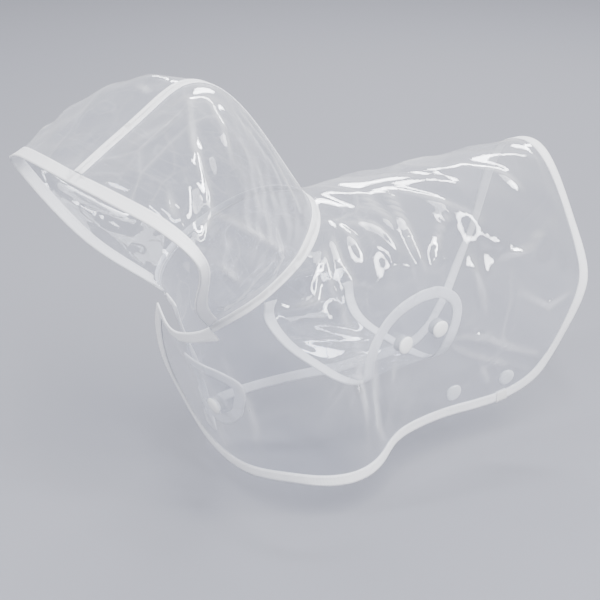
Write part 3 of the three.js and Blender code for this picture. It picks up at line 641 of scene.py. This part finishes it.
# A band laid closer to its film than the CAD's. Each point holds its place along and across the rim.
def bandOf(band):
    bm = bmesh.new()
    bm.from_mesh(nodes[band["name"]].data)
    bmesh.ops.remove_doubles(bm, verts=bm.verts, dist=bandShape["merge"])
    bmesh.ops.join_triangles(bm, faces=bm.faces, angle_face_threshold=bandShape["joinFaces"],
                             angle_shape_threshold=bandShape["joinShapes"])
    coarse = bpy.data.meshes.new(band["name"] + "Coarse")
    bm.to_mesh(coarse)
    bm.free()
    fine = refined(coarse, bandShape["levels"], bandShape)
    around = treeOf(*(middles[name] for name in band["on"]))
    points, _ = meshArrays(fine)
    for i, p in enumerate(points):
        near, _, _, away = around.find_nearest(Vector(p))
        laid = bandShape["skin"] + max(away - bandShape["inner"], 0.0) * bandShape["keep"]
        points[i] = near + (Vector(p) - near) * (laid / away)
    setPoints(fine, points)
    rims = [rimOf(middles[name]) for name in band["on"]]
    tree = KDTree(sum(len(rim) for rim in rims))
    lengths = []
    for rim in rims:
        total = 0.0
        for k, place in enumerate(rim):
            total += (place - rim[k - 1]).length if k else 0.0
            tree.insert(place, len(lengths))
            lengths.append(total)
    tree.balance()
    along = fine.attributes.new("along", "FLOAT", "POINT")
    across = fine.attributes.new("across", "FLOAT", "POINT")
    found = [tree.find(p) for p in points]
    along.data.foreach_set("value", [lengths[f[1]] for f in found])
    across.data.foreach_set("value", [f[2] for f in found])
    for face in fine.polygons:
        face.use_smooth = True
    fine.set_sharp_from_angle(angle=bandShape["angle"])
    return fine


# The longest open edge of a film, as places in order.
def rimOf(mesh):
    bm = bmesh.new()
    bm.from_mesh(mesh)
    longest = max(rimLoops(bm), key=len)
    places = [v.co.copy() for v in longest]
    bm.free()
    return places


stitching = {
    "pitch": 2.6 * mm,
    "length": 1.9 * mm,
    "radius": 0.19 * mm,
    "proud": 0.06 * mm,
    "reach": 2.6 * mm,  # how far off the film a band is looked for
    "slack": 1.3,
    "aside": 1.0 * mm,  # a run stops where the band isn't straight above the film
    "offFilm": 1.5 * mm,
    "fewest": 4,  # places in a run
    "segments": 6,
    "rings": 5,
}


# One node tree lays a thread's stitches along the lines of a mesh.
def stitchTree():
    tree = bpy.data.node_groups.new("stitchRun", "GeometryNodeTree")
    tree.interface.new_socket(name="Lines", in_out="INPUT", socket_type="NodeSocketGeometry")
    for name in ("Pitch", "Stitch Length", "Thread Radius"):
        tree.interface.new_socket(name=name, in_out="INPUT", socket_type="NodeSocketFloat")
    tree.interface.new_socket(name="Thread", in_out="INPUT", socket_type="NodeSocketMaterial")
    tree.interface.new_socket(name="Stitches", in_out="OUTPUT", socket_type="NodeSocketGeometry")
    given = tree.nodes.new("NodeGroupInput").outputs

    def add(kind, values, settings=None):
        node = tree.nodes.new(kind)
        for key, value in (settings or {}).items():
            setattr(node, key, value)
        for key, value in values.items():
            if isinstance(value, bpy.types.NodeSocket):
                tree.links.new(value, node.inputs[key])
            else:
                node.inputs[key].default_value = value
        return node.outputs

    curve = add("GeometryNodeMeshToCurve", {"Mesh": given["Lines"]})["Curve"]
    spots = add("GeometryNodeCurveToPoints", {
        "Curve": curve, "Length": given["Pitch"]}, {"mode": "LENGTH"})
    bead = add("GeometryNodeMeshUVSphere", {
        "Segments": stitching["segments"], "Rings": stitching["rings"], "Radius": 1.0})["Mesh"]
    size = add("ShaderNodeCombineXYZ", {
        "X": given["Thread Radius"], "Y": given["Thread Radius"], "Z": given["Stitch Length"]})["Vector"]
    laid = add("GeometryNodeInstanceOnPoints", {
        "Points": spots["Points"], "Instance": bead,
        "Rotation": spots["Rotation"], "Scale": size})["Instances"]
    real = add("GeometryNodeRealizeInstances", {"Geometry": laid})["Geometry"]
    done = add("GeometryNodeSetMaterial", {"Geometry": real, "Material": given["Thread"]})["Geometry"]
    tree.links.new(done, tree.nodes.new("NodeGroupOutput").inputs["Stitches"])
    return tree


stitchRun = stitchTree()


# Runs of places on a band, a set distance in from the rim of each film under it.
def stitchLines(band, fine):
    around = treeOf(fine)
    runs = []
    for name in band["on"]:
        middle = middles[name]
        surface = treeOf(middle)
        rim = rimOf(middle)
        for side in band["sides"]:
            run = []
            for k, place in enumerate(rim):
                tangent = (rim[(k + 1) % len(rim)] - rim[k - 1]).normalized()
                normal = surface.find_nearest(place)[1]
                inward = normal.cross(tangent).normalized()
                start = place + inward * band["stitch"] * mm
                if surface.find_nearest(start)[3] > stitching["offFilm"]:
                    start = place - inward * band["stitch"] * mm
                base, up, _, _ = surface.find_nearest(start)
                hit, face, _, away = around.find_nearest(base + up * side * stitching["reach"])
                sideways = (hit - base) - up * (hit - base).dot(up)
                near = away < stitching["slack"] * stitching["reach"]
                if near and sideways.length < stitching["aside"]:
                    run.append(hit + face * stitching["proud"])
                elif run:
                    runs.append(run)
                    run = []
            runs.append(run)
    return [run for run in runs if len(run) >= stitching["fewest"]]


lap = {
    "at": (51, 75, -163),
    "half": 4.5 * mm,
    "reach": 14 * mm,
    "rise": 0.6 * mm,
    "sink": 0.1 * mm,
    "outward": 0.2,  # a face that looks away from the film less than this isn't covered
    "step": 2,  # of the rim's points, to each side, for its direction
}


# The end of the hem's strip, laid over its start: the band's outer skin there, raised and closed.
def lapOf(fine):
    at = Vector(lap["at"]) * mm
    rim = rimOf(middles["cape"])
    k = min(range(len(rim)), key=lambda i: (rim[i] - at).length)
    tangent = (rim[(k + lap["step"]) % len(rim)] - rim[k - lap["step"]]).normalized()
    surface = treeOf(middles["cape"])
    bm = bmesh.new()
    bm.from_mesh(fine)
    bm.normal_update()
    apart = []
    for face in bm.faces:
        centre = face.calc_center_median()
        outward = (centre - surface.find_nearest(centre)[0]).normalized()
        near = (centre - at).length < lap["reach"] and abs((centre - at).dot(tangent)) < lap["half"]
        if not near or face.normal.dot(outward) < lap["outward"]:
            apart.append(face)
    bmesh.ops.delete(bm, geom=apart, context="FACES")
    bm.normal_update()
    normals = {vert.co.copy().freeze(): vert.normal.copy() for vert in bm.verts}
    base = list(bm.verts)
    grown = bmesh.ops.extrude_face_region(bm, geom=list(bm.faces), use_keep_orig=True)["geom"]
    for vert in grown:
        if isinstance(vert, bmesh.types.BMVert):
            vert.co = vert.co + normals[vert.co.copy().freeze()] * lap["rise"]
    for vert in base:
        vert.co = vert.co - normals[vert.co.copy().freeze()] * lap["sink"]
    bmesh.ops.recalc_face_normals(bm, faces=bm.faces)
    mesh = bpy.data.meshes.new("hemLap")
    bm.to_mesh(mesh)
    bm.free()
    for face in mesh.polygons:
        face.use_smooth = True
    mesh.set_sharp_from_angle(angle=bandShape["angle"])
    return mesh


bandPieces = {}
for band in bands:
    fine = bandOf(band)
    runs = stitchLines(band, fine)
    piece = objectOf(band["name"] + "_tape", fine)
    fine.materials.clear()
    fine.materials.append(binding)
    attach(piece, "root")
    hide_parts(band["name"])
    bandPieces[band["name"]] = [piece]
    if runs:
        lines = bpy.data.meshes.new(band["name"] + "Lines")
        vertices = [p for run in runs for p in run]
        starts = np.cumsum([0] + [len(run) for run in runs])
        edges = [(s + i, s + i + 1) for s, run in zip(starts, runs) for i in range(len(run) - 1)]
        lines.from_pydata(vertices, [(int(a), int(b)) for a, b in edges], [])
        work = objectOf("work", lines)
        modifier = work.modifiers.new("stitches", "NODES")
        modifier.node_group = stitchRun
        chosen = {
            "Pitch": stitching["pitch"], "Stitch Length": stitching["length"] / 2,
            "Thread Radius": stitching["radius"], "Thread": thread,
        }
        for item in stitchRun.interface.items_tree:
            if item.in_out == "INPUT" and item.name in chosen:
                modifier[item.identifier] = chosen[item.name]
        stitchMesh = plainMesh(work)
        bpy.data.objects.remove(work)
        for face in stitchMesh.polygons:
            face.use_smooth = True
        stitches = objectOf(band["name"] + "_stitches", stitchMesh)
        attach(stitches, "root")
        bandPieces[band["name"]].append(stitches)
    print("band", band["name"], len(fine.polygons), "faces,", len(runs), "runs of stitches")

hemLap = lapOf(bandPieces["hem_binding"][0].data)
lapPiece = objectOf("hem_binding_lap", hemLap)
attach(lapPiece, "root")
bandPieces["hem_binding"].append(lapPiece)
print("lap made,", len(hemLap.polygons), "faces")

filmWall = 0.25 * mm
for sheet in sheets:
    mesh = middles[sheet["name"]]
    mesh.materials.clear()
    mesh.materials.append(film)
    piece = objectOf(sheet["name"] + "_film", mesh)
    wall = piece.modifiers.new("wall", "SOLIDIFY")
    wall.thickness = filmWall
    wall.offset = 0.0
    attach(piece, "root")
    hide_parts(sheet["name"])
print("film made")

studio = {
    "floor": -197.5 * mm,
    "floorHalf": 8.0,
    "floorColour": (0.225, 0.23, 0.265, 1.0),
    "floorRough": 0.9,
    "sky": (0.86, 0.87, 0.92, 1.0),
    "skyLow": 0.5,  # up to this height of the sky's sphere
    "lowHeight": 0.1,
    "skyHigh": 1.3,
    "highHeight": 0.8,
    "aim": (0.0, -0.04, -0.06),
}
softLights = [
    {"name": "key", "at": (0.9, -0.5, 1.5), "width": 0.22, "height": 1.3, "power": 42.0},
    {"name": "side", "at": (1.3, 0.9, 0.55), "width": 0.16, "height": 1.3, "power": 20.0},
    {"name": "near", "at": (1.5, -0.2, 0.9), "width": 0.12, "height": 1.1, "power": 14.0},
    {"name": "back", "at": (-0.9, 0.9, 0.9), "width": 1.3, "height": 0.2, "power": 26.0},
    {"name": "front", "at": (-0.3, -1.4, 0.7), "width": 0.14, "height": 1.2, "power": 18.0},
    {"name": "panel", "at": (1.0, 0.35, 1.45), "width": 1.0, "height": 0.8, "power": 15.0},
]
ground = bpy.data.meshes.new("floor")
wide, level = studio["floorHalf"], studio["floor"]
corners = [(-wide, -wide, level), (wide, -wide, level), (wide, wide, level), (-wide, wide, level)]
ground.from_pydata(corners, [], [(0, 1, 2, 3)])
ground.materials.append(makePlain("floor", studio["floorColour"], studio["floorRough"]))
objectOf("floor", ground)
for softLight in softLights:
    data = bpy.data.lights.new(softLight["name"], "AREA")
    data.shape = "RECTANGLE"
    data.size, data.size_y, data.energy = softLight["width"], softLight["height"], softLight["power"]
    lamp = objectOf(softLight["name"], data)
    lamp.location = softLight["at"]
    lamp.rotation_euler = (Vector(studio["aim"]) - lamp.location).to_track_quat("-Z", "Y").to_euler()
# The room is lighter towards its ceiling, so the film has something to mirror.
world = bpy.data.worlds.new("studio")
world.use_nodes = True
room = world.node_tree
direction = room.nodes.new("ShaderNodeTexCoord").outputs["Generated"]
axes = room.nodes.new("ShaderNodeSeparateXYZ")
strength = room.nodes.new("ShaderNodeMapRange")
strength.inputs["From Min"].default_value = studio["lowHeight"]
strength.inputs["From Max"].default_value = studio["highHeight"]
strength.inputs["To Min"].default_value = studio["skyLow"]
strength.inputs["To Max"].default_value = studio["skyHigh"]
room.links.new(direction, axes.inputs["Vector"])
room.links.new(axes.outputs["Z"], strength.inputs["Value"])
room.links.new(strength.outputs["Result"], room.nodes["Background"].inputs["Strength"])
room.nodes["Background"].inputs["Color"].default_value = studio["sky"]
bpy.context.scene.world = world

view = {
    "azimuth": 55.0,
    "elevation": 24.0,
    "distance": 1.0,
    "target": (-0.0471, -0.0296, -0.0975),
    "lens": 85.7,
    "sensor": 36.0,
}
azimuth, elevation = math.radians(view["azimuth"]), math.radians(view["elevation"])
horizontal = math.cos(elevation)
back = Vector((math.sin(azimuth) * horizontal, -math.cos(azimuth) * horizontal, math.sin(elevation)))
camera = objectOf("camera", bpy.data.cameras.new("camera"))
camera.data.lens = view["lens"]
camera.data.sensor_width = view["sensor"]
camera.location = Vector(view["target"]) + back * view["distance"]
camera.rotation_euler = (-back).to_track_quat("-Z", "Y").to_euler()
bpy.context.scene.camera = camera
print("studio made")
